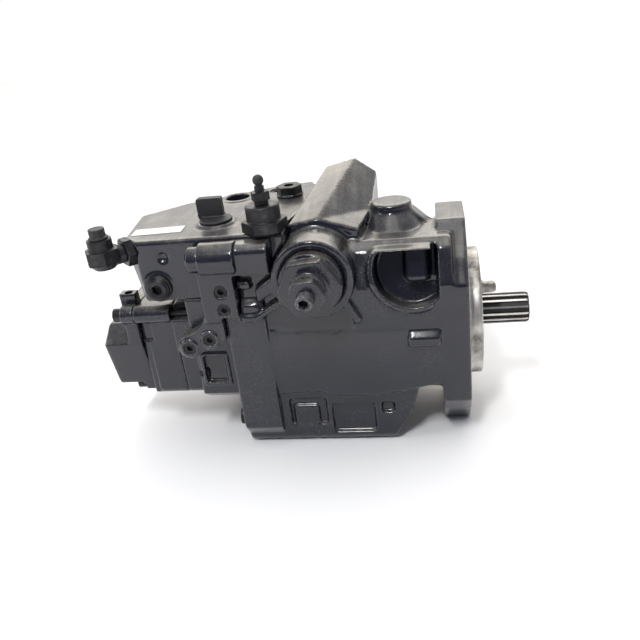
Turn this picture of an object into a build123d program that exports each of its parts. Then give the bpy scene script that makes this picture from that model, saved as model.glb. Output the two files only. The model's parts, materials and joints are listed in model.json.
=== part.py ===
"""Variable-displacement axial piston pump with a tandem gear pump, as an assembly.

+X runs along the drive shaft towards its splined end, +Z is up along the two-bolt
mounting flange, and the origin is on the shaft axis at the flange's mounting face.
All sizes are in millimetres.
"""
from build123d import *
from math import cos, pi, radians, sin, sqrt, tan
import os

os.makedirs("parts", exist_ok=True)

# ---- mounting flange and pilot: two-bolt, 127 mm pilot ------------------
PILOT_R = 63.5
PILOT_LEN = 12.7
FLANGE_T = 27.0
EAR_HEIGHT = 106.5
EAR_LOW = -111.0
EAR_HALF = 28.0
FLANGE_HALF = 78.0
FLANGE_BOLT_Z = 90.5
FLANGE_BOLT_R = 8.75

# ---- main casing --------------------------------------------------------
CASE_END = -228.0
BARREL_R = 76.0
CAVITY_R = 54.0
CAVITY_X = -34.0
WALL_Y = 78.0
WALL_TOP = 31.0
WALL_CURVE = 150.0
SUMP_Y = 69.0
SUMP_Z = -111.0
DECK_Z = 86.0

# ---- drive shaft --------------------------------------------------------
SPLINE_TIP_R = 15.6
SPLINE_ROOT_R = 13.4
SPLINE_TEETH = 14
SHAFT_END = 60.5
JOURNAL_R = 17.5
CORE_R = 15.0
TAIL_R = 12.5
STUB_R = 10.0

# ---- rotating group -----------------------------------------------------
PISTONS = 9
PITCH_R = 34.0
PISTON_R = 7.95
PISTON_BORE_R = 8.0
BLOCK_R = 50.0
BLOCK_BACK = -210.95
BLOCK_FRONT = -125.0
DRIVE_FRONT = -155.0
BALL_R = 6.5
TILT_X = -88.0
SWASH_FACE = -77.0
SWASH_R = 46.0
ROCKER_R = 44.0
TILT_MAX = 15

# ---- servo cylinder across the casing -----------------------------------
SERVO_X = -139.0
SERVO_Z = 76.0
SERVO_BOSS_R = 38.0
SERVO_FACE = -85.0
SERVO_BORE_R = 15.0
SERVO_END = 62.0
SERVO_HALF = 34.0
HEX_TURN = 35.0

# ---- rear cover, valve block and regulator ------------------------------
COVER_END = -270.0
COVER_Y = 66.0
SEAT_X = -215.0
BLOCK_TOP = 117.0
BLOCK_LOW = 56.0
PORT_X = -249.0
PORT_Z = -44.0
PORT_R = 12.7
PORT_DX = 26.2
PORT_DZ = 52.4
SPOOL_Y = -79.0
SPOOL_Z = 101.0
SPOOL_R = 5.0
BARREL_SIZE = 15.5

# ---- gear pump ----------------------------------------------------------
PLATE_END = -292.0
BODY_END = -331.0
LID_END = -345.0
LID_BOSS_END = -374.0
GEAR_HALF = 50.0
GEAR_LOW = -61.0
GEAR_HIGH = 42.0
MODULE = 3.0
TEETH = 12
PRESSURE = radians(25)
CENTRES = MODULE * TEETH
TIP_R = CENTRES / 2 + 0.9 * MODULE
ROOT_R = CENTRES / 2 - 1.1 * MODULE
GEAR_SHAFT_R = 8.0
BOLT_RIB_R = 9.5

# ---- fits ---------------------------------------------------------------
RUNNING = 0.05
GAP = 0.3


# ---- shapes -------------------------------------------------------------
def box(x0, x1, y0, y1, z0, z1):
    """A block between six planes."""
    size = (abs(x1 - x0), abs(y1 - y0), abs(z1 - z0))
    return Pos((x0 + x1) / 2, (y0 + y1) / 2, (z0 + z1) / 2) * Box(*size)


def cyl_x(radius, x0, x1, y=0.0, z=0.0):
    """A cylinder along X."""
    return Pos((x0 + x1) / 2, y, z) * Rot(0, 90, 0) * Cylinder(radius, abs(x1 - x0))


def cyl_y(radius, y0, y1, x=0.0, z=0.0):
    """A cylinder along Y."""
    return Pos(x, (y0 + y1) / 2, z) * Rot(90, 0, 0) * Cylinder(radius, abs(y1 - y0))


def cyl_z(radius, z0, z1, x=0.0, y=0.0):
    """A cylinder along Z."""
    return Pos(x, y, (z0 + z1) / 2) * Cylinder(radius, abs(z1 - z0))


def ring_x(outer, inner, x0, x1, y=0.0, z=0.0):
    """A ring along X."""
    low, high = min(x0, x1), max(x0, x1)
    return cyl_x(outer, low, high, y, z) - cyl_x(inner, low - 1, high + 1, y, z)


def prism_yz(points, x0, x1):
    """A polygon of (y, z) points between two X planes."""
    outline = make_face(Polyline(*points, close=True))
    return extrude(Plane.YZ.offset(min(x0, x1)) * outline, abs(x1 - x0))


def prism_xz(points, y0, y1):
    """A polygon of (x, z) points between two Y planes."""
    outline = make_face(Polyline(*points, close=True))
    return extrude(Plane.XZ.offset(-max(y0, y1)) * outline, abs(y1 - y0))


def prism_xy(points, z0, z1):
    """A polygon of (x, y) points between two Z planes."""
    outline = make_face(Polyline(*points, close=True))
    return extrude(Plane.XY.offset(min(z0, z1)) * outline, abs(z1 - z0))


def facing(point, direction):
    """The location at a point whose own Z looks along a direction."""
    return Plane(origin=point, z_dir=direction).location


def disc(radius, length, start=0.0):
    """A cylinder along Z from a start height up."""
    return Pos(0, 0, start + length / 2) * Cylinder(radius, length)


def hexagon(across_flats, length, start=0.0, turn=0.0):
    """A hexagonal prism along Z with bevelled top corners."""
    outline = RegularPolygon(across_flats / 2, 6, major_radius=False, rotation=turn)
    body = extrude(outline, length)
    reach = across_flats * 0.54
    guard = Cone(reach + length, reach, length, align=(Align.CENTER, Align.CENTER, Align.MIN))
    return Pos(0, 0, start) * (body & guard)


def socket_screw(head_r, head_len, shank_r, shank_len):
    """A socket-head cap screw: the head sits on z 0 and the shank hangs below."""
    head = disc(head_r, head_len)
    key = extrude(RegularPolygon(head_r * 0.5, 6, major_radius=False), head_len * 0.6)
    return head - Pos(0, 0, head_len * 0.4) * key + disc(shank_r, shank_len, -shank_len)


def spring(radius, wire_r, height, turns):
    """A helical spring along Z from z 0 up, measured between its end centres."""
    path = Helix(height / turns, height, radius)
    section = Plane(origin=path @ 0, z_dir=path % 0) * Circle(wire_r)
    return sweep(section, path=path)


def round_edges(shape, edges, radius):
    """A fillet on a list of edges."""
    return fillet(edges, radius) if edges else shape


def group(shapes):
    """One compound of separate solids."""
    return Compound(children=[solid for shape in shapes for solid in shape.solids()])


def save(shape, name):
    """Writes one named node."""
    export_step(shape, f"parts/{name}.step")
    solids = shape.solids()
    print(name, len(solids), "solids", round(sum(s.volume for s in solids)), "mm3")


def polar(radius, degrees):
    """A (y, z) point on a circle about the shaft axis."""
    return radius * cos(radians(degrees)), radius * sin(radians(degrees))


def star(tip_r, root_r, teeth, tip_share=0.28, root_share=0.42):
    """The points of a straight-sided spline outline."""
    step = 2 * pi / teeth
    points = []
    for i in range(teeth):
        for angle, radius in (
            (-root_share / 2, root_r), (-tip_share / 2, tip_r),
            (tip_share / 2, tip_r), (root_share / 2, root_r),
        ):
            turn = (i + angle) * step
            points.append((radius * cos(turn), radius * sin(turn)))
    return points


def spline_bar(tip_r, root_r, teeth, x0, x1):
    """A splined bar along X."""
    return prism_yz(star(tip_r, root_r, teeth), x0, x1)


# ---- shared places ------------------------------------------------------
COVER_BOLTS = [polar(63.0, a) for a in (48, 132, 205, 262, 359)]
GEAR_BOLTS = [(-47.5, 35.0), (40.0, 32.0), (-30.0, -53.0), (40.0, -51.0)]
BLOCK_BOLTS = [(-262.0, 61.0), (-196.0, 80.0), (-258.0, 10.0), (-205.0, 12.0)]
REGULATOR_BOLTS = [(-265.5, 14.0), (-244.0, 22.0), (-224.5, 71.0), (-224.0, 52.5)]
PORT_BOLTS = [
    (PORT_X + sx * PORT_DX / 2, PORT_Z + sz * PORT_DZ / 2) for sx in (-1, 1) for sz in (-1, 1)
]
DRAIN = (-50.0, -88.0)
GALLERY = (-26.0, -18.0)
GEAR_PORT = (-311.0, -18.0)
TOP_PORT = (-235.0, 60.0)
CAPPED_PORT = (-236.0, -25.0)
HEX_PORT = (-177.0, 56.0)
GAUGE_PORT = (-181.0, -56.0)
SIDE_PLUG = (-290.5, 71.0)
ELBOW_SEAT = (-314.0, -58.0, 107.0)


# ---- casing -------------------------------------------------------------
def flange_plate():
    """The two-bolt flange: flat sides, shoulders, and an ear up and down."""
    half = [(EAR_HALF, EAR_HEIGHT), (60, 80), (76, 60), (FLANGE_HALF, 40)]
    right = half + [(y, -z) for y, z in reversed(half[1:])] + [(EAR_HALF, EAR_LOW)]
    left = [(-y, z) for y, z in reversed(right)]
    plate = prism_yz(right + left, -FLANGE_T, 0)
    corners = [e for e in plate.edges().filter_by(Axis.X) if abs(e.center().Z) > EAR_HEIGHT - 1]
    return round_edges(plate, corners, 6)


def walls():
    """The lower half: tall, slightly bulging side walls over a narrower sump with a sloping nose."""
    sides = [(-195, -50), (-150, -47), (-135, -53), (-90, -55), (-54, -48), (-30, -42), (-10, -42),
             (-10, WALL_TOP), (-195, WALL_TOP)]
    upper = prism_xz(sides, -WALL_Y, WALL_Y)
    top = [e for e in upper.edges().filter_by(Axis.X) if e.center().Z > WALL_TOP - 2]
    upper = round_edges(upper, top, 8)
    for side in (-1, 1):
        upper = upper & cyl_x(WALL_CURVE, -200, 0, side * (WALL_Y - WALL_CURVE), -11)
    keel = [(CASE_END, SUMP_Z), (-78, SUMP_Z), (-56, -72), (-50, -50), (-40, -30), (-40, 0), (CASE_END, 0)]
    lower = prism_xz(keel, -SUMP_Y, SUMP_Y)
    bottom = [e for e in lower.edges().filter_by(Axis.X) if e.center().Z < SUMP_Z + 2]
    return upper + round_edges(lower, bottom, 12)


def end_plate():
    """The thick square plate that the rear cover bolts to."""
    plate = prism_yz([(-80, 58), (80, 58), (80, -84), (64, -104), (-64, -104), (-80, -84)], CASE_END, -189)
    upright = [e for e in plate.edges().filter_by(Axis.X) if e.center().Z > 50]
    return round_edges(plate, upright, 10)


def side_windows(side):
    """The two recessed panels cast into one side of the sump."""
    face = side * (WALL_Y + 1)
    floor = side * (SUMP_Y - 5)
    first = box(-138, -95, face, floor, -99, -65)
    second = box(-181, -143, face, floor, -89, -58)
    notch = box(-88, -75, face, floor, -77, -65)
    pad = box(-177, -152, floor - side, side * (SUMP_Y - 1), -86, -67)
    return first + second + notch, pad


def servo_boss():
    """The servo cylinder's drum along Y, on a foot that joins it to the barrel."""
    drum = cyl_y(SERVO_BOSS_R, SERVO_FACE, 72, SERVO_X, SERVO_Z)
    foot = box(SERVO_X - SERVO_BOSS_R, SERVO_X + SERVO_BOSS_R, -74, 66, 10, SERVO_Z)
    return drum + foot


def ridge():
    """The gabled bar across the top, which climbs and narrows away from the near side."""
    near, far = -47.0, 62.0
    low = [(-168, 40), (-163, 117), (-134, 121), (-97, 109), (-97, 40)]
    high = [(-141, 40), (-136, 143), (-105, 150), (-84, 134), (-84, 40)]
    start = Plane.XZ.offset(-near) * make_face(Polyline(*low, close=True))
    end = Plane.XZ.offset(-far) * make_face(Polyline(*high, close=True))
    bar = loft([start, end], ruled=True)
    corner = box(-190, -148, near - 2, near + 14, 100, 130) - cyl_z(20, 99, 131, -150, near + 16)
    return bar - corner


def filler_boss():
    """The upright boss behind the flange: a leaning cone with a flat round top, and a web."""
    top = Pos(-68, 0, 113) * Circle(19.5)
    foot = Pos(-65, -24, 82) * Circle(32)
    cone = loft([foot, top], ruled=True)
    cap = cyl_z(19.5, 112, 120, -68, 0)
    web = prism_xz([(-70, 60), (-12, 60), (-12, 93), (-26, 93), (-36, 101), (-52, 116)], -11, 11)
    return cone + cap + web


def shoulder():
    """The faceted mass between the servo boss and the flange."""
    outline = [(-77, 20), (-77, 62), (-62, 93), (-52, 99), (0, 99), (0, 20)]
    body = prism_yz(outline, -106, -14)
    edges = [e for e in body.edges().filter_by(Axis.X) if e.center().Y < -60 and e.center().Z > 40]
    return round_edges(body, edges, 7)


POCKET_FACING = (0, -1, 0.3)
POCKET_SEAT = (-50, -44, 68)


def pocket_rim():
    """The short drum beside the flange that the pocket is sunk into, cut off above and in front."""
    drum = facing(POCKET_SEAT, POCKET_FACING) * disc(40, 50, -14)
    return drum & box(-100, -32, -82, 0, 0, 96)


def pocket_hollow():
    """The pocket: round on its left, open to the flange on its right, with a swelling inside."""
    hollow = facing(POCKET_SEAT, POCKET_FACING) * disc(34.5, 60)
    hollow += box(-50, -FLANGE_T, -110, -47, 52, 100)
    hollow = hollow & box(-100, -FLANGE_T, -110, 0, 30, 94)
    swelling = prism_yz([(-64, 58), (-52, 98), (-20, 98), (-20, 58)], -57, -35)
    rounded = [e for e in swelling.edges() if e.center().Y < -50 or e.center().Z < 59]
    return hollow - round_edges(swelling, rounded, 5)


def small_ribs():
    """Cast-in details: a ledge by the flange, two ribs, a step, two pads and a lug on the pilot."""
    ledge = prism_yz([(-70, 0), (-83, 3), (-83, 12), (-70, 25)], -57, -FLANGE_T)
    edges = [e for e in ledge.edges().filter_by(Axis.X) if e.center().Y < -80]
    ledge = round_edges(ledge, edges, 3)
    rib = prism_xz([(-211, 43), (-196, 43), (-173, 57), (-171, 52), (-195, 37), (-211, 37)], -83, -70)
    brace = prism_xz([(-118, 56), (-112, 61), (-97, 32), (-104, 29)], -82, -68)
    step = prism_xz([(-193, 69), (-178, 80), (-176, 66), (-193, 57)], -84, -70)
    pads = box(-210, -198, -81, -70, 69, 77) + box(-210, -198, -80.5, -70, 49, 53)
    lug = box(PILOT_LEN - 2, 27, -34, -25, 32, 42)
    tip = [e for e in lug.edges().filter_by(Axis.Y) if e.center().X > 26]
    return ledge + rib + brace + step + pads + round_edges(lug, tip, 3)


def rotating_group_hollows():
    """The cavities along the shaft: bearing seat, seal seat and main chamber."""
    main = cyl_x(CAVITY_R, CASE_END - 1, CAVITY_X)
    bearing = cyl_x(40, CAVITY_X - 1, -7)
    seal = cyl_x(30, -8, PILOT_LEN + 1)
    groove = cyl_x(31.6, 8.4, 10.2)
    arm_slot = box(-152, -60, -26, 17, 40, 62) + box(-152, -126, -26, 12, 60, SERVO_Z - 8)
    return main + bearing + seal + groove + arm_slot


def casing():
    """The main casting, with its bosses, chambers and bores."""
    body = cyl_x(BARREL_R, CASE_END, -FLANGE_T + 1) + flange_plate() + walls() + end_plate()
    body += box(-211, -170, -74, 80, 30, DECK_Z) + box(CASE_END, -210, -COVER_Y, 80, 30, DECK_Z)
    body -= box(CASE_END - 1, -211, -82, -COVER_Y, 44, 60)
    body += shoulder() + pocket_rim()
    body += filler_boss() + servo_boss() + ridge() + small_ribs()
    body += cyl_x(PILOT_R, -1, PILOT_LEN)
    body -= pocket_hollow()
    for side in (-1, 1):
        window, pad = side_windows(side)
        body = body - window + pad
    body -= rotating_group_hollows()
    body -= cyl_y(SERVO_BORE_R, SERVO_FACE - 1, SERVO_END, SERVO_X, SERVO_Z)
    body -= cyl_y(29.5, SERVO_FACE - 1, SERVO_FACE + 4, SERVO_X, SERVO_Z)
    body -= cyl_y(21, SERVO_FACE, SERVO_FACE + 22, SERVO_X, SERVO_Z)
    for z in (-FLANGE_BOLT_Z, FLANGE_BOLT_Z):
        body -= cyl_x(FLANGE_BOLT_R, -FLANGE_T - 1, 1, 0, z)
    for y, z in COVER_BOLTS:
        body -= cyl_x(5, CASE_END - 1, CASE_END + 24, y, z)
    for x, y in BLOCK_BOLTS[1::2]:
        body -= cyl_z(4.1, 74, DECK_Z + 1, x, y)
    body -= cyl_x(8, CASE_END - 1, CASE_END + 14, *DRAIN)
    body -= cyl_x(4, CASE_END - 1, CASE_END + 10, 60, 40) + cyl_x(4, CASE_END - 1, CASE_END + 10, -60, -10)
    return body


def casing_dowels():
    """Two dowels that place the rear cover on the casing."""
    return group([cyl_x(4, CASE_END - 8, CASE_END + 8, y, z) for y, z in ((60, 40), (-60, -10))])


# ---- rear cover ---------------------------------------------------------
def kidney(sign, x0, x1):
    """One port slot: a third of a ring on the piston circle, above or below the shaft."""
    ring = ring_x(PITCH_R + 5, PITCH_R - 5, x0, x1)
    points = [(0, 0), (-60, sign * 34.6), (-60, sign * 60), (60, sign * 60), (60, sign * 34.6)]
    return ring & prism_yz(points, x0, x1)


def rear_cover():
    """The end casting: spigot, bearing seat, port passages and the suction flange."""
    body = prism_yz([(-COVER_Y, BLOCK_LOW), (70, BLOCK_LOW), (70, -62), (54, -74), (-22, -74),
                     (-52, -61), (-COVER_Y, -50)], COVER_END, CASE_END)
    body += box(COVER_END, CASE_END, 20, 76, -88, 4)
    body += cyl_x(CAVITY_R - GAP, CASE_END - 1, SEAT_X)
    body -= cyl_x(26, -252, SEAT_X + 1) + cyl_x(14, COVER_END - 1, -251)
    body -= kidney(1, -246, SEAT_X + 1) + kidney(-1, -246, SEAT_X + 1)
    body -= cyl_z(9, 30, BLOCK_LOW + 1, -238, 0)
    body -= cyl_y(PORT_R, 40, 77, PORT_X, PORT_Z) + cyl_y(PORT_R - 1, 4, 41, PORT_X, PORT_Z)
    body -= cyl_x(4, COVER_END - 1, -245, *GALLERY)
    for x, z in PORT_BOLTS:
        body -= cyl_y(5.1, 54, 77, x, z)
    for y, z in COVER_BOLTS:
        body -= cyl_x(5.2, COVER_END - 1, CASE_END + 1, y, z) + cyl_x(8.5, COVER_END - 1, -260, y, z)
    body -= cyl_x(4, CASE_END - 8, CASE_END + 1, 60, 40) + cyl_x(4, CASE_END - 8, CASE_END + 1, -60, -10)
    body += box(-265, -237, -COVER_Y - 2, -COVER_Y, -39, -3)
    body -= box(-262, -240, -COVER_Y - 3, -COVER_Y + 3, -36, -6)
    for y, z in GEAR_BOLTS:
        body -= cyl_x(4, COVER_END - 1, COVER_END + 8, y, z)
    for x, y in BLOCK_BOLTS[0::2]:
        body -= cyl_z(4.1, 44, BLOCK_LOW + 1, x, y)
    for x, z in REGULATOR_BOLTS[:2]:
        body -= cyl_y(3, -COVER_Y - 1, -COVER_Y + 12, x, z)
    return body


def cover_bolts():
    """Five socket-head screws that hold the rear cover."""
    return group([facing((-260, y, z), (-1, 0, 0)) * socket_screw(8, 9.5, 4.9, 54) for y, z in COVER_BOLTS])


def valve_plate():
    """The thin port plate that the cylinder block runs on."""
    plate = cyl_x(BLOCK_R, SEAT_X, SEAT_X + 4) - cyl_x(26, SEAT_X - 1, SEAT_X + 5)
    return plate - kidney(1, SEAT_X - 1, SEAT_X + 5) - kidney(-1, SEAT_X - 1, SEAT_X + 5)


# ---- valve block on top -------------------------------------------------
BLOCK_OUTLINE = [
    (-163, -COVER_Y), (-306, -COVER_Y), (-322, -50), (-331, 21), (-291, 56), (-205, 96), (-160, 106),
    (-142, 64), (-168, -46), (-163, -50),
]


def bored_down(shape, places, radius, depth):
    """Blind holes down from the valve block's top."""
    for x, y in places:
        shape -= cyl_z(radius, BLOCK_TOP - depth, BLOCK_TOP + 20, x, y)
    return shape


def valve_block():
    """The ported block on the casing's deck, overhanging behind the rear cover."""
    body = prism_xy(BLOCK_OUTLINE, BLOCK_LOW, BLOCK_TOP)
    top = [e for e in body.edges() if e.center().Z > BLOCK_TOP - 1 and e.center().X < -200]
    body = chamfer(top, 2)
    body -= box(CASE_END, -150, -90, 120, BLOCK_LOW - 1, DECK_Z)
    body -= cyl_y(SERVO_BOSS_R + GAP, -90, 90, SERVO_X, SERVO_Z)
    rear_slope = [(-345, 50), (-303, 50), (-309, 62), (-318, 92), (-336, BLOCK_TOP), (-345, BLOCK_TOP)]
    body -= prism_xz(rear_slope, -90, 90)
    body += cyl_z(19, BLOCK_TOP - 1, BLOCK_TOP + 3, *CAPPED_PORT)
    body += cyl_z(18, BLOCK_TOP - 1, BLOCK_TOP + 1.5, *TOP_PORT)
    body += cyl_y(14.8, -COVER_Y - 1.5, -60, *SIDE_PLUG)
    body = bored_down(body, [TOP_PORT], 12.5, 28.5)
    body = bored_down(body, [TOP_PORT], 10, 44)
    body = bored_down(body, [CAPPED_PORT], 13, 30)
    body = bored_down(body, [HEX_PORT], 9, 15)
    body = bored_down(body, [GAUGE_PORT], 7, 9)
    body = bored_down(body, BLOCK_BOLTS, 7.2, 10)
    body = bored_down(body, BLOCK_BOLTS, 4.1, 80)
    body -= cyl_y(7, 0, 55, -238, 80) + cyl_z(9, BLOCK_LOW - 1, 80, -238, 0)
    body -= cyl_y(11, -COVER_Y - 4, -50, *SIDE_PLUG)
    body -= cyl_y(5, -COVER_Y - 1, -COVER_Y + 3, -281, 100.5)
    body -= facing(ELBOW_SEAT, (-1, -1, 0)) * disc(6, 16, -15)
    return body


def valve_block_bolts():
    """Four socket-head screws sunk in the valve block's top."""
    seat = BLOCK_TOP - 9.5
    lengths = [60, 30, 60, 30]
    return group([
        facing((x, y, seat), (0, 0, 1)) * socket_screw(7, 8, 4, length)
        for (x, y), length in zip(BLOCK_BOLTS, lengths)
    ])


def capped_port_plug():
    """The plastic plug in the near port: a disc in the bore and a raised flat tab."""
    x, y = CAPPED_PORT
    body = cyl_z(12.9, BLOCK_TOP - 12, BLOCK_TOP + 5, x, y) + cyl_z(16, BLOCK_TOP + 3, BLOCK_TOP + 5.5, x, y)
    tab = box(x - 19, x + 6, y + 5, y + 14, BLOCK_TOP + 3, BLOCK_TOP + 24)
    return body + round_edges(tab, tab.edges().filter_by(Axis.Y), 2)


def hex_port_plug():
    """The hexagon plug in the far port."""
    place = facing((*HEX_PORT, BLOCK_TOP), (0, 0, 1))
    head = hexagon(24, 9, 2) + disc(14, 2)
    return place * (head - disc(5, 5, 7) + disc(8.9, 14, -14))


def gauge_base():
    """The black hexagon base and round body of the gauge fitting."""
    place = facing((*GAUGE_PORT, BLOCK_TOP), (0, 0, 1))
    body = hexagon(37, 10, 1, 15) + disc(15.8, 15, 10) + disc(18, 1) + disc(6.9, 9, -9)
    rim = [e for e in body.edges() if e.center().Z > 24.5]
    return place * (chamfer(rim, 1.2) - disc(4, 10, 16))


def gauge_stem():
    """The slim steel stem on the gauge fitting, with its small hexagon."""
    place = facing((*GAUGE_PORT, BLOCK_TOP), (0, 0, 1))
    return place * (disc(3.9, 12, 16) + disc(6.5, 4, 25) + hexagon(15, 8, 29) + disc(4.5, 5, 37))


def gauge_cap():
    """The ball-topped cap on the stem."""
    place = facing((*GAUGE_PORT, BLOCK_TOP), (0, 0, 1))
    ball = Pos(0, 0, 47) * Sphere(5)
    return place * (ball + disc(3.2, 3, 42))


def side_port_plug():
    """The round plug on the valve block's near side, with a stepped face and a hexagon socket."""
    x, z = SIDE_PLUG
    place = facing((x, -COVER_Y - 1.5, z), (0, -1, 0))
    body = disc(13.5, 3) + disc(11.5, 2, 3) + disc(9.5, 1.5, 5) + disc(10.9, 14, -14)
    return place * (body - extrude(RegularPolygon(4.5, 6, major_radius=False), 20))


def elbow_nut():
    """The locknut that clamps the elbow to the valve block."""
    place = facing(ELBOW_SEAT, (-1, -1, 0))
    return place * (hexagon(25, 8) - disc(6, 10, -1))


def elbow_fitting():
    """The elbow: a threaded leg into the block and an upright body with a hexagon skirt."""
    leg = facing(ELBOW_SEAT, (-1, -1, 0)) * (disc(5.9, 26, -14) + disc(9, 14, 8))
    x, y = ELBOW_SEAT[0] - 19.5, ELBOW_SEAT[1] - 19.5
    upright = facing((x, y, 104), (0, 0, 1)) * (disc(11.5, 23) + hexagon(29, 13, 0))
    foot = Pos(x, y, 101.5) * Cone(10, 15, 6)
    bore = cyl_z(5, 123, 128, x, y)
    return leg + upright + foot - bore


def elbow_cap():
    """The small ribbed cap on top of the elbow."""
    x, y = ELBOW_SEAT[0] - 19.5, ELBOW_SEAT[1] - 19.5
    body = cyl_z(4.9, 123, 127.5, x, y) + cyl_z(9, 127, 129, x, y) + cyl_z(7.5, 128, 137, x, y)
    for i in range(10):
        angle = 2 * pi * i / 10
        body -= cyl_z(1.1, 129.5, 138, x + 8 * cos(angle), y + 8 * sin(angle))
    return body


def label_plate():
    """The blank label on the valve block's top."""
    return Pos(-292, -36, BLOCK_TOP + 0.3) * Rot(0, 0, 3) * Box(50, 18, 0.6)


# ---- regulator ----------------------------------------------------------
def regulator_body():
    """The spool housing on the near side: a round barrel over a column with a lobed foot."""
    column = box(-244, CASE_END - GAP, -88, -COVER_Y, 40, 90)
    column += box(CASE_END - 1, -211.3, -88, -COVER_Y, 44.3, 90)
    shelf = prism_yz([(-COVER_Y, 80), (-88, 80), (-88, 84), (-80, 94), (-COVER_Y, 94)], -244, -211.3)
    beam = box(-213, -176, -88, -COVER_Y, DECK_Z, 114)
    top = [e for e in beam.edges().filter_by(Axis.X) if e.center().Z > 113 and e.center().Y < -80]
    barrel = cyl_x(BARREL_SIZE, -240, -206, SPOOL_Y, SPOOL_Z) & box(-241, -205, -99, -COVER_Y, 80, 120)
    foot = prism_xz([(CASE_END - GAP, 20), (CASE_END - GAP, 50), (-244, 50), (-248, 39), (-256, 31),
                     (-266, 26), (-266, 3), (-250, 10)], -86, -COVER_Y)
    lobes = cyl_y(12, -86, -COVER_Y, *REGULATOR_BOLTS[0]) + cyl_y(11.5, -86, -COVER_Y, *REGULATOR_BOLTS[1])
    lobes += cyl_y(9, -88, -COVER_Y, *REGULATOR_BOLTS[0]) + cyl_y(9, -88, -COVER_Y, *REGULATOR_BOLTS[1])
    body = column + shelf + round_edges(beam, top, 9) + barrel + foot + lobes
    body -= cyl_y(SERVO_BOSS_R + GAP, -95, -50, SERVO_X, SERVO_Z)
    body -= cyl_x(SPOOL_R + RUNNING, -245, -180, SPOOL_Y, SPOOL_Z)
    body -= cyl_x(9, -245, -228, SPOOL_Y, SPOOL_Z) + cyl_x(12.5, -245, -240, SPOOL_Y, SPOOL_Z)
    for x, z in REGULATOR_BOLTS:
        body -= cyl_y(3.3, -90, -60, x, z) + cyl_y(6, -90, -81, x, z)
    return body


def regulator_end_cap():
    """The threaded cap that closes the spool barrel and seats its spring."""
    cap = cyl_x(12.2, -252, -240, SPOOL_Y, SPOOL_Z) + cyl_x(8.9, -241, -235, SPOOL_Y, SPOOL_Z)
    rim = [e for e in cap.edges() if e.center().X < -251]
    cap = chamfer(rim, 2)
    return cap - cyl_x(6.5, -245, -234, SPOOL_Y, SPOOL_Z)


def control_spool():
    """The control spool, with three lands."""
    body = cyl_x(3, -226, -184, SPOOL_Y, SPOOL_Z)
    for x in (-226, -207, -191):
        body += cyl_x(SPOOL_R, x, x + 8, SPOOL_Y, SPOOL_Z)
    return body


def spool_spring():
    """The spring behind the control spool."""
    return Pos(-244.2, SPOOL_Y, SPOOL_Z) * Rot(0, 90, 0) * spring(3.9, 0.7, 17.4, 5)


def regulator_bolts():
    """The socket-head screws that hold the spool housing."""
    lengths = [20, 20, 12, 12]
    return group([
        facing((x, -81, z), (0, -1, 0)) * socket_screw(5.8, 5.5, 2.7, length)
        for (x, z), length in zip(REGULATOR_BOLTS, lengths)
    ])


# ---- servo cylinder and its stop screw ----------------------------------
def servo_cap():
    """The large hexagon plug that closes the servo bore, bored for the stop screw."""
    place = facing((SERVO_X, SERVO_FACE + 4, SERVO_Z), (0, -1, 0))
    body = disc(29, 13) + hexagon(51, 12, 13, HEX_TURN) + disc(16, 4, 25) + disc(20.8, 18, -18)
    return place * (body - disc(7.55, 60, -20))


def adjuster_washer():
    """The sealing washer under the locknut."""
    place = facing((SERVO_X, SERVO_FACE - 25, SERVO_Z), (0, -1, 0))
    return place * (disc(16.5, 3) - disc(7.8, 5, -1))


def adjuster_locknut():
    """The locknut on the stop screw."""
    place = facing((SERVO_X, SERVO_FACE - 28, SERVO_Z), (0, -1, 0))
    return place * (hexagon(30, 11, 0, HEX_TURN) - disc(7.55, 13, -1))


def stop_screw():
    """The stop screw that sets the greatest swash angle, with a hexagon socket in its end."""
    place = facing((SERVO_X, SERVO_FACE - 50, SERVO_Z), (0, 1, 0))
    body = disc(7.5, 86)
    body -= extrude(RegularPolygon(4, 6, major_radius=False), 8)
    rim = [e for e in body.edges().filter_by(GeomType.CIRCLE) if e.center().Z < 0.1]
    return place * chamfer(rim, 1)


def servo_piston():
    """The servo piston, slotted from below for the swash plate's pin."""
    body = cyl_y(SERVO_BORE_R - RUNNING, -SERVO_HALF, SERVO_HALF, SERVO_X, SERVO_Z)
    for y in (-28, 24):
        body -= cyl_y(16, y, y + 3, SERVO_X, SERVO_Z) - cyl_y(13.2, y - 1, y + 4, SERVO_X, SERVO_Z)
    return body - box(SERVO_X - 8.5, SERVO_X + 8.5, -6.4, 6.4, 50, 81)


def servo_spring():
    """The spring that pushes the servo piston towards the stop screw."""
    return Pos(SERVO_X, SERVO_END - 1.6, SERVO_Z) * Rot(90, 0, 0) * spring(11, 1.5, 24.8, 4)


# ---- shaft and rotating group -------------------------------------------
def drive_shaft():
    """The stepped drive shaft, splined at its end and inside the cylinder block."""
    end = spline_bar(SPLINE_TIP_R, SPLINE_ROOT_R, SPLINE_TEETH, 13, SHAFT_END)
    point = Pos(SHAFT_END - 8, 0, 0) * Rot(0, 90, 0) * Cone(22.2, 14.2, 16)
    body = (end & (point + cyl_x(20, 10, SHAFT_END - 15)))
    body += cyl_x(JOURNAL_R, CAVITY_X, 13.5) + cyl_x(CORE_R, DRIVE_FRONT, CAVITY_X + 1)
    body += spline_bar(CORE_R, 13.2, 16, -206, DRIVE_FRONT)
    body += cyl_x(TAIL_R, -252, -205) + cyl_x(STUB_R, -275, -251)
    return body - cyl_x(4, SHAFT_END - 12, SHAFT_END + 1)


def shaft_seal():
    """The lip seal in the pilot."""
    return ring_x(30, JOURNAL_R + RUNNING, 0, 8)


def snap_ring():
    """The snap ring in front of the seal, open at the bottom."""
    ring = ring_x(31.5, 27.5, 8.5, 10.1)
    return ring - box(8, 11, -5, 5, -33, -25)


def bearing_outer_rings():
    """The outer rings of both roller bearings."""
    return group([ring_x(40, 33, -30, -9), ring_x(26, 22.55, -250, -235)])


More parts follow.
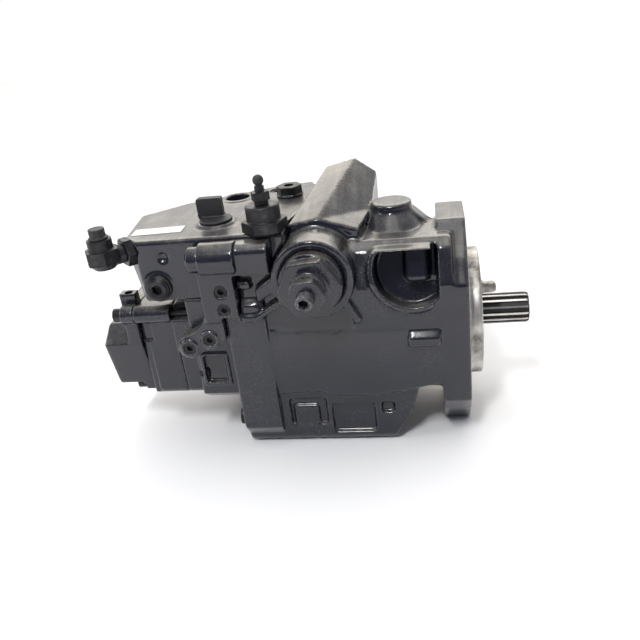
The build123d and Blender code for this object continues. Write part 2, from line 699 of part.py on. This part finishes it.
def bearing_inner_rings():
    """The inner rings of both roller bearings."""
    return group([ring_x(24, JOURNAL_R, -30, -9), ring_x(16.4, TAIL_R, -250, -235)])


def roller_set(count, pitch_r, roller_r, x0, x1):
    """Rollers round the shaft, and the cage that spaces them."""
    cage = ring_x(pitch_r + roller_r * 0.5, pitch_r - roller_r * 0.5, x0, x1)
    rollers = []
    for i in range(count):
        y, z = polar(pitch_r, 360 * i / count)
        rollers.append(cyl_x(roller_r, x0 + 2, x1 - 2, y, z))
        cage -= cyl_x(roller_r + 0.1, x0 + 1.9, x1 - 1.9, y, z)
    return rollers + [cage]


def bearing_rollers():
    """The rollers and cages of both bearings."""
    front = roller_set(14, 28.5, 4.45, -29, -10)
    rear = roller_set(14, 19.475, 3.02, -249, -236)
    return group(front + rear)


def cylinder_block():
    """The barrel of nine bores, splined to the shaft, with a kidney-fed port to each."""
    body = cyl_x(BLOCK_R, BLOCK_BACK, BLOCK_FRONT)
    body -= cyl_x(CORE_R + 0.2, DRIVE_FRONT - 1, BLOCK_FRONT + 1)
    body -= prism_yz([(y * 1.012, z * 1.012) for y, z in star(CORE_R, 13.2, 16)], -206.5, DRIVE_FRONT)
    body -= cyl_x(13.5, BLOCK_BACK - 1, -206) + cyl_x(20.5, -151, BLOCK_FRONT + 1)
    for i in range(PISTONS):
        y, z = polar(PITCH_R, 360 * i / PISTONS)
        body -= cyl_x(PISTON_BORE_R, -199, BLOCK_FRONT + 1, y, z) + cyl_x(4.5, BLOCK_BACK - 1, -198, y, z)
    return body


def piston(y, z):
    """One piston with its neck and ball, at the middle of its stroke."""
    barrel = cyl_x(PISTON_R, -185, -101, y, z) - cyl_x(4.5, -186, -130, y, z)
    taper = Pos(-98, y, z) * Rot(0, 90, 0) * Cone(PISTON_R, 4.4, 6)
    neck = cyl_x(4.4, -96, TILT_X, y, z)
    return barrel + taper + neck + Pos(TILT_X, y, z) * Sphere(BALL_R)


def pistons():
    """The nine pistons."""
    return group([piston(*polar(PITCH_R, 360 * i / PISTONS)) for i in range(PISTONS)])


def slipper(y, z):
    """One slipper shoe, with the socket that holds a piston's ball."""
    pad = cyl_x(10, SWASH_FACE - 3, SWASH_FACE - RUNNING, y, z)
    cup = cyl_x(8.6, -92, SWASH_FACE - 2, y, z)
    throat = Pos(-94, y, z) * Rot(0, 90, 0) * Cone(8, 4.4, 8)
    return pad + cup - Pos(TILT_X, y, z) * Sphere(BALL_R + RUNNING) - throat


def slippers():
    """The nine slipper shoes."""
    return group([slipper(*polar(PITCH_R, 360 * i / PISTONS)) for i in range(PISTONS)])


def retainer_plate():
    """The plate that keeps the slippers on the swash plate."""
    plate = cyl_x(45, -84, SWASH_FACE - 3) - cyl_x(19.6, -85, SWASH_FACE)
    for i in range(PISTONS):
        plate -= cyl_x(9, -85, SWASH_FACE, *polar(PITCH_R, 360 * i / PISTONS))
    return plate


def ball_guide():
    """The part-spherical guide that presses the retainer plate."""
    ball = Pos(TILT_X, 0, 0) * Sphere(19.2) & cyl_x(25, -98, SWASH_FACE - 3)
    return ball - cyl_x(CORE_R, -110, -60)


def block_spring():
    """The spring between the cylinder block and the ball guide."""
    return Pos(-149.2, 0, 0) * Rot(0, 90, 0) * spring(17.8, 1.5, 49.4, 5)


def swash_plate():
    """The tilting plate, with two rockers at its back and the servo arm and pin."""
    body = cyl_x(SWASH_R, SWASH_FACE, -70)
    rockers = box(SWASH_FACE, -40, -40, 40, 22, 42) + box(SWASH_FACE, -40, -40, 40, -42, -22)
    body += rockers & cyl_z(ROCKER_R, -50, 50, TILT_X, 0) & cyl_x(48, -80, -40)
    for angle in range(0, TILT_MAX + 1, 5):
        shaft_way = cyl_x(17.5, -95 - TILT_X, -30 - TILT_X)
        body -= Pos(TILT_X, 0, 0) * Rot(0, 0, -angle) * shaft_way
    arm = box(SWASH_FACE, -66, -8, 8, 36, 59) + box(-147, -66, -8, 8, 52.5, 59)
    return body + arm + cyl_z(6, 58, 78, SERVO_X, 0)


def swash_cradle():
    """The pair of hollow seats that the swash plate rocks in, on one ring."""
    ring = cyl_x(53, -39, CAVITY_X)
    seats = box(-56, -38, -28, 28, 23, 42) + box(-56, -38, -28, 28, -42, -23)
    return ring + seats - cyl_x(26, -60, -30) - cyl_z(ROCKER_R + RUNNING, -60, 60, TILT_X, 0)


# ---- gear pump ----------------------------------------------------------
def involute(turn):
    """A point of the involute of the base circle, unrolled by an angle."""
    base_r = CENTRES / 2 * cos(PRESSURE)
    return base_r * (cos(turn) + turn * sin(turn)), base_r * (sin(turn) - turn * cos(turn))


def gear_outline(phase):
    """The (y, z) points of a spur gear whose first tooth points at the phase angle."""
    base_r = CENTRES / 2 * cos(PRESSURE)
    roll_tip = sqrt((TIP_R / base_r) ** 2 - 1)
    backlash_angle = 0.3 / CENTRES
    half = pi / (2 * TEETH) + tan(PRESSURE) - PRESSURE - backlash_angle
    flank = [involute(roll_tip * i / 6) for i in range(7)]
    root = (ROOT_R, 0.0)
    points = []
    for tooth in range(TEETH):
        centre = phase + 2 * pi * tooth / TEETH
        for sign in (-1, 1):
            side = [root] + flank if sign < 0 else (flank[::-1] + [root])
            for y, z in side:
                turned = centre + sign * half
                y1, z1 = y, -sign * z
                points.append((y1 * cos(turned) - z1 * sin(turned), y1 * sin(turned) + z1 * cos(turned)))
    return points


def gear(z, phase, shaft_start):
    """A spur gear on its shaft."""
    teeth = Pos(0, 0, z) * prism_yz(gear_outline(phase), -324.8, -298.2)
    return teeth + cyl_x(GEAR_SHAFT_R, -357, shaft_start, 0, z)


def drive_gear():
    """The gear on the drive shaft's axis, with a tooth pointing down."""
    return gear(0, -pi / 2, -276.5)


def driven_gear():
    """The gear below, with a gap pointing up."""
    return gear(-CENTRES, pi / 2 + pi / TEETH, -281)


def shaft_coupling():
    """The sleeve between the drive shaft and the drive gear."""
    return cyl_x(13, -286, -262) - cyl_x(STUB_R, -276, -261) - cyl_x(GEAR_SHAFT_R, -287, -275)


def gear_outline_block(x0, x1):
    """The gear pump's outer shape between two planes, rounded along its length."""
    body = box(x0, x1, -GEAR_HALF, GEAR_HALF, GEAR_LOW, GEAR_HIGH)
    return round_edges(body, body.edges().filter_by(Axis.X), 12)


def gear_bolt_holes(body, x0, x1):
    """Takes the four through holes out of a gear pump section."""
    for y, z in GEAR_BOLTS:
        body -= cyl_x(4.2, x0, x1, y, z)
    return body


def gear_pump_plate():
    """The front plate of the gear pump."""
    body = gear_outline_block(PLATE_END, COVER_END)
    body += box(PLATE_END, COVER_END, -GEAR_HALF - 6, GEAR_HALF + 6, -6, 30)
    body -= cyl_x(13.5, -287.5, COVER_END + 1) + cyl_x(GEAR_SHAFT_R + RUNNING, PLATE_END - 1, -280)
    body -= cyl_x(GEAR_SHAFT_R + RUNNING, PLATE_END - 1, -280, 0, -CENTRES)
    body -= cyl_x(4, PLATE_END - 1, COVER_END + 1, *GALLERY)
    return gear_bolt_holes(body, PLATE_END - 1, COVER_END + 1)


def gear_pair(radius, x0, x1):
    """A figure-of-eight shape round both gears."""
    return cyl_x(radius, x0, x1) + cyl_x(radius, x0, x1, 0, -CENTRES)


def gear_pump_body():
    """The ring round the gears, with a bolt rib along its near side and its two ports."""
    body = gear_outline_block(BODY_END, PLATE_END)
    body += cyl_x(BOLT_RIB_R, BODY_END, PLATE_END, *GEAR_BOLTS[0])
    body -= box(BODY_END - 1, -323, -60, -45, GEAR_LOW - 1, 4) + box(BODY_END - 1, -318, -60, -43, 3, 26)
    body -= gear_pair(TIP_R + GAP, BODY_END - 1, PLATE_END + 1)
    body -= cyl_y(7, 30, GEAR_HALF + 1, *GEAR_PORT) + cyl_y(5, -33, 31, *GEAR_PORT)
    body -= cyl_x(4, GEAR_PORT[0], PLATE_END + 1, *GALLERY)
    return gear_bolt_holes(body, BODY_END - 1, PLATE_END + 1)


def gear_bushings():
    """The two figure-of-eight bearing blocks on either side of the gears."""
    blocks = []
    for x0, x1 in ((BODY_END, -325), (-298, PLATE_END)):
        block = gear_pair(TIP_R + GAP - 0.1, x0, x1)
        blocks.append(block - gear_pair(GEAR_SHAFT_R + RUNNING, x0 - 1, x1 + 1))
    return group(blocks)


def gear_pump_lid():
    """The rear lid: a bolted flange, a raised bearing boss and a small lug with a hole."""
    body = gear_outline_block(LID_END, BODY_END) + cyl_x(BOLT_RIB_R, LID_END, BODY_END, *GEAR_BOLTS[0])
    boss = prism_yz([(-37, -55), (-50, 2), (-28, 17), (34, 17), (42, 4), (42, -50)], LID_BOSS_END, LID_END)
    rear = [e for e in boss.edges() if e.center().X < LID_BOSS_END + 1]
    body -= prism_yz([(-60, 2), (-50, 2), (-37, -55), (-35, -63), (-60, -63)], LID_END - 1, BODY_END)
    body += chamfer(rear, 3)
    body += box(LID_END - 3, BODY_END, -39.5, -27, 36, 54) - cyl_z(4, 35, 60, -339, -34)
    body -= gear_pair(GEAR_SHAFT_R + RUNNING, -360, BODY_END + 1)
    for y, z in GEAR_BOLTS[2:]:
        body -= cyl_x(7.5, LID_BOSS_END - 1, LID_END, y, z)
    return gear_bolt_holes(body, LID_END - 1, BODY_END + 1)


def gear_pump_bolts():
    """Four long socket-head screws through the gear pump."""
    return group([
        facing((LID_END, y, z), (-1, 0, 0)) * socket_screw(7, 8, 3.9, 82) for y, z in GEAR_BOLTS
    ])


def drain_plug():
    """The drain plug low on the casing's rear face."""
    place = facing((CASE_END, *DRAIN), (-1, 0, 0))
    return place * (disc(12, 3) + disc(9, 7, 3) + disc(7.9, 12, -12) - disc(4, 5, 6))


# ---- all nodes ----------------------------------------------------------
NODES = [
    casing, casing_dowels, rear_cover, cover_bolts, valve_plate, valve_block, valve_block_bolts,
    capped_port_plug, hex_port_plug, gauge_base, gauge_stem, gauge_cap, side_port_plug, elbow_nut,
    elbow_fitting, elbow_cap, label_plate, regulator_body, regulator_end_cap, control_spool,
    spool_spring, regulator_bolts, servo_cap, adjuster_washer, adjuster_locknut, stop_screw,
    servo_piston, servo_spring, drive_shaft, shaft_seal, snap_ring, bearing_outer_rings,
    bearing_inner_rings, bearing_rollers, cylinder_block, pistons, slippers, retainer_plate,
    ball_guide, block_spring, swash_plate, swash_cradle, drive_gear, driven_gear, shaft_coupling,
    gear_pump_plate, gear_pump_body, gear_bushings, gear_pump_lid, gear_pump_bolts, drain_plug,
]

for node in NODES:
    save(node(), node.__name__)
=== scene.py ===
"""Looks for the axial piston pump: materials, soft edges, light, floor and camera."""

import json

import bpy
from mathutils import Matrix, Vector


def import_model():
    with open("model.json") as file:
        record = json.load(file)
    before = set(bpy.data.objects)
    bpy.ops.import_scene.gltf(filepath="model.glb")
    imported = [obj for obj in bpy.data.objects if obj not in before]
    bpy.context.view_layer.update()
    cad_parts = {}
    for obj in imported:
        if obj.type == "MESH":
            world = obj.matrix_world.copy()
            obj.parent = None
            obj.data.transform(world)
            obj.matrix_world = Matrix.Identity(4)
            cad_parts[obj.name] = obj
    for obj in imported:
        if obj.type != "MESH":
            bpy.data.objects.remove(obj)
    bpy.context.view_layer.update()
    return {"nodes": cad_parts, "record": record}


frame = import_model()
NODES = frame["nodes"]

# ---- sizes, in metres ---------------------------------------------------
# The flange's front face is at x = 0. The casing is bare metal from just behind that face forwards.
MM = 0.001
BARE_FROM_X = -0.4 * MM
SPLINE_GROOVE_R = 14.2 * MM
SPLINE_CREST_R = 15.3 * MM
FLOOR_Z = -111.0 * MM
FLOOR_SIZE = 9.2

# ---- the paint's clear top layer ----------------------------------------
GLOSS = 0.25
GLOSS_ROUGHNESS = 0.05

# ---- camera -------------------------------------------------------------
CAMERA_AT = Vector((-29.9, -655.9, 314.9)) * MM
CAMERA_RIGHT = Vector((0.9852, 0.1272, -0.1145))
CAMERA_UP = Vector((0.0467, 0.4441, 0.8948))
CAMERA_LENS = 39.375
CAMERA_SENSOR = 36.0
CAMERA_NEAREST, CAMERA_FARTHEST = 0.01, 100

# ---- light --------------------------------------------------------------
# Each light's place and size in metres, its power in watts and its colour.
LIT_POINT = (-0.16, 0, 0)
LIGHTS = {
    "back bank": ((-0.6, 5.5, 3.6), (7.0, 3.2), 175, (1.0, 0.92, 0.80)),
    "overhead": ((-0.3, 0.0, 4.5), (3.2, 2.4), 50, (1.0, 0.98, 0.95)),
    "key": ((-0.4, -1.4, 1.9), (0.25, 0.6), 28, (1.0, 1.0, 1.0)),
    "side": ((-2.6, -0.9, 1.2), (0.5, 1.4), 14, (0.92, 0.95, 1.0)),
}
# The world's colour on the camera's side and behind the pump, each after its place on the ramp.
WORLD_NEAR = (0.15, (0.17, 0.18, 0.23, 1.0))
WORLD_FAR = (0.75, (1.0, 1.0, 1.0, 1.0))


# ---- node helpers -------------------------------------------------------
class Material:
    """A node material under construction, around one Principled shader."""

    def __init__(self, name):
        self.material = bpy.data.materials.new(name)
        self.material.use_nodes = True
        self.tree = self.material.node_tree
        self.shader = self.tree.nodes["Principled BSDF"]
        self.place = self.node("ShaderNodeTexCoord").outputs["Object"]

    def node(self, kind, **settings):
        """Adds a node of a kind, with its settings."""
        made = self.tree.nodes.new(kind)
        for key, value in settings.items():
            setattr(made, key, value)
        return made

    def link(self, source, target):
        """Joins two sockets."""
        self.tree.links.new(source, target)

    def put(self, target, value):
        """Sets a socket from a number, a colour or another socket."""
        if isinstance(value, bpy.types.NodeSocket):
            self.link(value, target)
        else:
            target.default_value = value

    def stretched(self, scale):
        """The place, scaled differently along each axis."""
        mapping = self.node("ShaderNodeMapping")
        mapping.inputs["Scale"].default_value = scale
        self.link(self.place, mapping.inputs["Vector"])
        return mapping.outputs["Vector"]

    def noise(self, scale, detail, rough=0.55, vector=None):
        """Cloudy noise over the object."""
        made = self.node("ShaderNodeTexNoise")
        made.inputs["Scale"].default_value = scale
        made.inputs["Detail"].default_value = detail
        made.inputs["Roughness"].default_value = rough
        self.link(vector or self.place, made.inputs["Vector"])
        return made.outputs["Fac"]

    def ramp(self, fac, stops):
        """Turns a number into colour by (place, colour or grey) stops."""
        made = self.node("ShaderNodeValToRGB")
        elements = made.color_ramp.elements
        while len(elements) < len(stops):
            elements.new(0.5)
        for element, (at, colour) in zip(elements, stops):
            element.position = at
            element.color = (*colour, 1.0) if isinstance(colour, tuple) else (colour, colour, colour, 1.0)
        self.link(fac, made.inputs["Fac"])
        return made.outputs["Color"]

    def spread(self, fac, low, high, to_low=0.0, to_high=1.0):
        """Maps the range low to high onto another range."""
        made = self.node("ShaderNodeMapRange")
        for key, value in (("From Min", low), ("From Max", high), ("To Min", to_low), ("To Max", to_high)):
            made.inputs[key].default_value = value
        self.link(fac, made.inputs["Value"])
        return made.outputs["Result"]

    def math(self, operation, a, b=0.0):
        """Does one step of arithmetic on numbers."""
        made = self.node("ShaderNodeMath", operation=operation)
        self.put(made.inputs[0], a)
        self.put(made.inputs[1], b)
        return made.outputs["Value"]

    def mix(self, fac, a, b):
        """Blends two colours."""
        made = self.node("ShaderNodeMix", data_type="RGBA")
        self.put(made.inputs["Factor"], fac)
        self.put(made.inputs["A"], (*a, 1.0) if isinstance(a, tuple) else a)
        self.put(made.inputs["B"], (*b, 1.0) if isinstance(b, tuple) else b)
        return made.outputs["Result"]

    def blend(self, fac, a, b):
        """Blends two numbers."""
        made = self.node("ShaderNodeMix", data_type="FLOAT")
        self.put(made.inputs["Factor"], fac)
        self.put(made.inputs["A"], a)
        self.put(made.inputs["B"], b)
        return made.outputs["Result"]

    def axis(self, letter, vector=None):
        """One coordinate of a vector, or of the place."""
        made = self.node("ShaderNodeSeparateXYZ")
        self.link(vector or self.place, made.inputs["Vector"])
        return made.outputs[letter]

    def bump(self, height, distance, strength):
        """Relief from a height, as a normal."""
        made = self.node("ShaderNodeBump")
        made.inputs["Distance"].default_value = distance
        made.inputs["Strength"].default_value = strength
        self.link(height, made.inputs["Height"])
        return made.outputs["Normal"]

    def finish(self, colour, roughness, metallic, normal=None, coat=0.0, coat_roughness=0.1, specular=0.5):
        """Fills in the shader and gives the material."""
        self.put(self.shader.inputs["Base Color"], colour)
        self.put(self.shader.inputs["Roughness"], roughness)
        self.put(self.shader.inputs["Metallic"], metallic)
        self.put(self.shader.inputs["Coat Weight"], coat)
        self.shader.inputs["Coat Roughness"].default_value = coat_roughness
        self.shader.inputs["Specular IOR Level"].default_value = specular
        if normal is not None:
            self.link(normal, self.shader.inputs["Normal"])
        return self.material


# ---- materials ----------------------------------------------------------
def paint_colour(m, up, patch):
    """Blue-black paint: a dusty layer on upward faces that also paints their pale sheen, grit there and in
    patches, and worn edges that also carry a painted highlight.
    """
    colour = m.ramp(m.noise(9, 5), [(0.3, (0.007, 0.008, 0.014)), (0.7, (0.016, 0.017, 0.027))])
    streaks = m.noise(24, 5, 0.6, m.stretched((5.0, 0.4, 1.0)))
    # The pale warm layer on upward faces is partly dust and partly a painted reflection of the bright room
    # above.
    dust_film_and_painted_sheen = m.mix(m.spread(streaks, 0.4, 0.62), (0.055, 0.042, 0.03), (0.16, 0.16, 0.135))
    dust_and_sheen_patches = m.spread(m.noise(46, 6, 0.68), 0.38, 0.68, 0.15, 0.85)
    colour = m.mix(m.math("MULTIPLY", dust_and_sheen_patches, up), colour, dust_film_and_painted_sheen)
    grit = m.spread(m.noise(620, 3, 0.7), 0.56, 0.7, 0.0, 0.35)
    gritty = m.math("MULTIPLY", grit, m.math("ADD", m.math("MULTIPLY", patch, 0.6), up))
    colour = m.mix(gritty, colour, (0.3, 0.29, 0.27))
    # Pale specks on sharp edges are partly rubbed paint and partly a painted highlight along the rounded
    # edges.
    edge = m.spread(m.node("ShaderNodeNewGeometry").outputs["Pointiness"], 0.515, 0.58, 0.0, 0.8)
    rubbed_and_highlit = m.math("MULTIPLY", edge, m.spread(m.noise(700, 4, 0.7), 0.47, 0.62))
    return m.mix(rubbed_and_highlit, colour, (0.26, 0.25, 0.24))


def paint_roughness(m, up, patch):
    """Glossy paint, duller in patches and on upward faces."""
    roughness = m.blend(patch, m.spread(m.noise(30, 4), 0.3, 0.75, 0.08, 0.17), 0.27)
    return m.blend(m.math("MULTIPLY", up, 0.55), roughness, 0.42)


def paint_relief(m, patch):
    """The cast skin under the paint: broad and short waves, and specks that stand out in patches."""
    speck = m.math("MULTIPLY", m.noise(420, 3, 0.6), m.math("ADD", m.math("MULTIPLY", patch, 0.2), 0.05))
    waves = m.math("ADD", m.noise(46, 3, 0.5), m.math("MULTIPLY", m.noise(13, 2, 0.4), 3.2))
    return m.bump(m.math("ADD", waves, speck), 1.4 * MM, 0.42)


def paint_layers(m):
    """Colour, roughness and relief of black gloss paint over a sand-cast skin."""
    normal = m.node("ShaderNodeNewGeometry").outputs["Normal"]
    up = m.spread(m.axis("Z", normal), 0.35, 0.95)
    patch = m.spread(m.noise(17, 4, 0.6), 0.5, 0.62)
    return paint_colour(m, up, patch), paint_roughness(m, up, patch), paint_relief(m, patch)


def gloss_paint():
    """The paint alone, for every painted piece but the casing."""
    m = Material("gloss black paint")
    colour, roughness, normal = paint_layers(m)
    return m.finish(colour, roughness, 0.0, normal, GLOSS, GLOSS_ROUGHNESS)


def bare_casting(m):
    """Colour and roughness of the machined face and pilot, stained and faintly ringed."""
    rings = m.noise(30, 3, 0.5, m.stretched((26, 1.2, 1.2)))
    stain = m.noise(42, 5, 0.6)
    tones = [(0.36, (0.10, 0.09, 0.085)), (0.5, (0.42, 0.40, 0.37)), (0.72, (0.74, 0.71, 0.66))]
    colour = m.mix(m.spread(rings, 0.3, 0.7, 0.0, 0.35), m.ramp(stain, tones), (0.24, 0.23, 0.22))
    return colour, m.spread(stain, 0.3, 0.7, 0.55, 0.3)


def casing_paint():
    """The paint, with the mounting face and pilot left bare."""
    m = Material("casing paint and bare pilot")
    paint, paint_rough, normal = paint_layers(m)
    metal, metal_rough = bare_casting(m)
    bare = m.math("GREATER_THAN", m.axis("X"), BARE_FROM_X)
    colour = m.mix(bare, paint, metal)
    roughness = m.blend(bare, paint_rough, metal_rough)
    metallic = m.math("MULTIPLY", bare, 0.9)
    coat = m.math("MULTIPLY", m.math("SUBTRACT", 1.0, bare), GLOSS)
    return m.finish(colour, roughness, metallic, normal, coat, GLOSS_ROUGHNESS)


def turned_steel(name="turned steel", tint=(0.56, 0.55, 0.53), rough=0.3):
    """Bare steel with fine lines round the shaft's axis."""
    m = Material(name)
    lines = m.noise(700, 2, 0.5, m.stretched((1.0, 0.03, 0.03)))
    stain = m.noise(60, 4, 0.6)
    dark = tuple(c * 0.45 for c in tint)
    colour = m.mix(m.spread(stain, 0.35, 0.75, 0.0, 0.7), tint, dark)
    roughness = m.spread(lines, 0.3, 0.7, rough - 0.08, rough + 0.14)
    return m.finish(colour, roughness, 1.0, m.bump(lines, 0.08 * MM, 0.5))


def spline_steel():
    """The shaft: bright on the spline's crests and journals, with painted shade darkening its grooves."""
    m = Material("spline steel")
    across = m.math("POWER", m.axis("Y"), 2.0)
    upward = m.math("POWER", m.axis("Z"), 2.0)
    radius = m.math("SQRT", m.math("ADD", across, upward))
    crest = m.spread(radius, SPLINE_GROOVE_R, SPLINE_CREST_R)
    stain = m.noise(90, 4, 0.6)
    bright = m.mix(m.spread(stain, 0.4, 0.75, 0.0, 0.6), (0.66, 0.64, 0.61), (0.3, 0.28, 0.26))
    # The near-black colour in the grooves is painted shade, where the crests hide the light.
    colour = m.mix(crest, (0.05, 0.048, 0.046), bright)
    lines = m.noise(500, 2, 0.5, m.stretched((0.02, 1.0, 1.0)))
    return m.finish(colour, m.blend(crest, 0.55, 0.28), 1.0, m.bump(lines, 0.06 * MM, 0.5))


def black_oxide():
    """Blackened steel fittings, slightly worn."""
    m = Material("black oxide")
    stain = m.noise(70, 5, 0.6)
    tones = [(0.35, (0.012, 0.012, 0.014)), (0.6, (0.035, 0.035, 0.038)), (0.8, (0.09, 0.087, 0.083))]
    colour = m.ramp(stain, tones)
    roughness = m.spread(m.noise(160, 3), 0.3, 0.7, 0.28, 0.5)
    return m.finish(colour, roughness, 0.65, m.bump(m.noise(800, 2), 0.08 * MM, 0.5))


def black_plastic():
    """Fine-grained plastic of the tabbed port plug and the caps of the elbow and the gauge fitting."""
    m = Material("moulded black plastic")
    grain = m.noise(900, 3, 0.6)
    colour = m.ramp(m.noise(50, 4), [(0.3, (0.010, 0.010, 0.011)), (0.7, (0.022, 0.022, 0.024))])
    roughness = m.spread(grain, 0.3, 0.7, 0.42, 0.62)
    return m.finish(colour, roughness, 0.0, m.bump(grain, 0.1 * MM, 0.5))


def bronze():
    """Bearing bronze, darker in patches."""
    m = Material("bearing bronze")
    stain = m.noise(50, 5)
    colour = m.ramp(stain, [(0.3, (0.36, 0.22, 0.08)), (0.7, (0.62, 0.44, 0.2))])
    roughness = m.spread(stain, 0.3, 0.7, 0.25, 0.42)
    return m.finish(colour, roughness, 1.0, m.bump(m.noise(600, 2), 0.08 * MM, 0.5))


def gear_alloy():
    """Pale alloy of the gear bushings."""
    m = Material("bushing alloy")
    stain = m.noise(60, 5)
    colour = m.ramp(stain, [(0.3, (0.5, 0.5, 0.52)), (0.7, (0.72, 0.72, 0.74))])
    roughness = m.spread(stain, 0.3, 0.7, 0.3, 0.5)
    return m.finish(colour, roughness, 1.0, m.bump(m.noise(500, 2), 0.1 * MM, 0.5))


def seal_rubber():
    """Matt black rubber."""
    m = Material("seal rubber")
    grain = m.noise(500, 3)
    colour = m.ramp(m.noise(60, 3), [(0.3, (0.012, 0.012, 0.012)), (0.7, (0.03, 0.028, 0.027))])
    return m.finish(colour, m.spread(grain, 0.3, 0.7, 0.55, 0.75), 0.0, m.bump(grain, 0.1 * MM, 0.6))


def label_white():
    """A blank printed label, a little scuffed."""
    m = Material("blank label")
    scuff = m.noise(240, 5, 0.7)
    tones = [(0.3, (0.80, 0.79, 0.76)), (0.62, (0.72, 0.71, 0.68)), (0.8, (0.42, 0.41, 0.39))]
    colour = m.ramp(scuff, tones)
    return m.finish(colour, m.spread(scuff, 0.3, 0.7, 0.45, 0.7), 0.0, m.bump(scuff, 0.06 * MM, 0.4))


def spring_steel():
    """The turned steel again, darker and duller."""
    return turned_steel("spring steel", (0.30, 0.30, 0.31), 0.35)


FINISHES = {
    "gloss_black_paint": gloss_paint(),
    "machined_steel": turned_steel(),
    "black_oxide": black_oxide(),
    "black_plastic": black_plastic(),
    "bearing_bronze": bronze(),
    "seal_rubber": seal_rubber(),
    "gear_alloy": gear_alloy(),
    "label_white": label_white(),
    "spring_steel": spring_steel(),
}
SPECIAL = {"casing": casing_paint(), "drive_shaft": spline_steel()}


def dress(name, slot):
    """Gives a CAD node its material."""
    node = NODES[name]
    node.data.materials.clear()
    node.data.materials.append(SPECIAL.get(name, FINISHES[slot]))


for part in frame["record"]["subparts"]:
    dress(part["node"], part["material_slot"])


# ---- softened edges -----------------------------------------------------
WELD_GAP = 0.002 * MM
SMOOTHING = 0.5
# Each node's grain in mm, and the rounds of smoothing that melt its edges and corners.
MELTED = {
    "casing": (1.4, 14), "rear_cover": (1.3, 8), "valve_block": (1.3, 9), "regulator_body": (0.9, 8),
    "gear_pump_plate": (1.2, 5), "gear_pump_body": (1.2, 5), "gear_pump_lid": (1.2, 6),
    "servo_cap": (0.8, 3), "adjuster_locknut": (0.5, 3), "elbow_fitting": (0.5, 3), "elbow_nut": (0.5, 2),
    "elbow_cap": (0.5, 2), "gauge_base": (0.5, 3), "gauge_stem": (0.35, 1), "capped_port_plug": (0.6, 4),
    "hex_port_plug": (0.6, 3), "side_port_plug": (0.6, 2), "regulator_end_cap": (0.6, 4),
}


def melt(node, grain, rounds):
    """Rounds a node's edges and fills its inner corners a little, as casting and thick paint do."""
    joined = node.modifiers.new("weld", "WELD")
    joined.merge_threshold = WELD_GAP
    skin = node.modifiers.new("skin", "REMESH")
    skin.mode = "VOXEL"
    skin.voxel_size = grain * MM
    skin.use_smooth_shade = True
    smooth = node.modifiers.new("melted edges", "SMOOTH")
    smooth.factor = SMOOTHING
    smooth.iterations = rounds


for name, (grain, rounds) in MELTED.items():
    melt(NODES[name], grain, rounds)


# ---- floor, light and camera --------------------------------------------
def floor():
    """A wide pale floor."""
    bpy.ops.mesh.primitive_plane_add(size=FLOOR_SIZE, location=(0, 0, FLOOR_Z))
    plane = bpy.context.object
    plane.name = "floor"
    m = Material("pale floor")
    tone = m.noise(1.5, 3)
    plane.data.materials.append(m.finish(m.ramp(tone, [(0.3, 0.88), (0.7, 0.92)]), 0.9, 0.0, specular=0.1))


def area_light(name, at, size, power, colour):
    """A rectangular soft light aimed at the pump."""
    data = bpy.data.lights.new(name, "AREA")
    data.shape = "RECTANGLE"
    data.size, data.size_y = size
    data.energy = power
    data.color = colour
    light = bpy.data.objects.new(name, data)
    light.location = at
    light.rotation_mode = "QUATERNION"
    light.rotation_quaternion = (Vector(LIT_POINT) - Vector(at)).to_track_quat("-Z", "Y")
    bpy.context.scene.collection.objects.link(light)


def lights():
    """A warm bank behind, a soft one overhead, a small key in front and a narrow one at the side."""
    for name, settings in LIGHTS.items():
        area_light(name, *settings)


def world():
    """A studio that is white behind the pump and greyer on the camera's side."""
    made = bpy.data.worlds.new("studio")
    bpy.context.scene.world = made
    made.use_nodes = True
    nodes, links = made.node_tree.nodes, made.node_tree.links
    background = nodes["Background"]
    place = nodes.new("ShaderNodeTexCoord")
    parts = nodes.new("ShaderNodeSeparateXYZ")
    ramp = nodes.new("ShaderNodeValToRGB")
    shift = nodes.new("ShaderNodeMath")
    shift.operation = "MULTIPLY_ADD"
    shift.inputs[1].default_value = 0.5
    shift.inputs[2].default_value = 0.5
    for stop, (at, colour) in zip(ramp.color_ramp.elements, (WORLD_NEAR, WORLD_FAR)):
        stop.position = at
        stop.color = colour
    links.new(place.outputs["Generated"], parts.inputs["Vector"])
    links.new(parts.outputs["Y"], shift.inputs[0])
    links.new(shift.outputs["Value"], ramp.inputs["Fac"])
    links.new(ramp.outputs["Color"], background.inputs["Color"])
    background.inputs["Strength"].default_value = 1.0


def camera():
    """The camera at the place solved from the flange's and shaft's sizes."""
    data = bpy.data.cameras.new("camera")
    data.sensor_width = CAMERA_SENSOR
    data.lens = CAMERA_LENS
    data.clip_start, data.clip_end = CAMERA_NEAREST, CAMERA_FARTHEST
    made = bpy.data.objects.new("camera", data)
    back = CAMERA_RIGHT.cross(CAMERA_UP)
    turn = Matrix((CAMERA_RIGHT, CAMERA_UP, back)).transposed()
    made.matrix_world = Matrix.Translation(CAMERA_AT) @ turn.to_4x4()
    bpy.context.scene.collection.objects.link(made)
    bpy.context.scene.camera = made


floor()
lights()
world()
camera()
bpy.context.scene.view_settings.view_transform = "Standard"
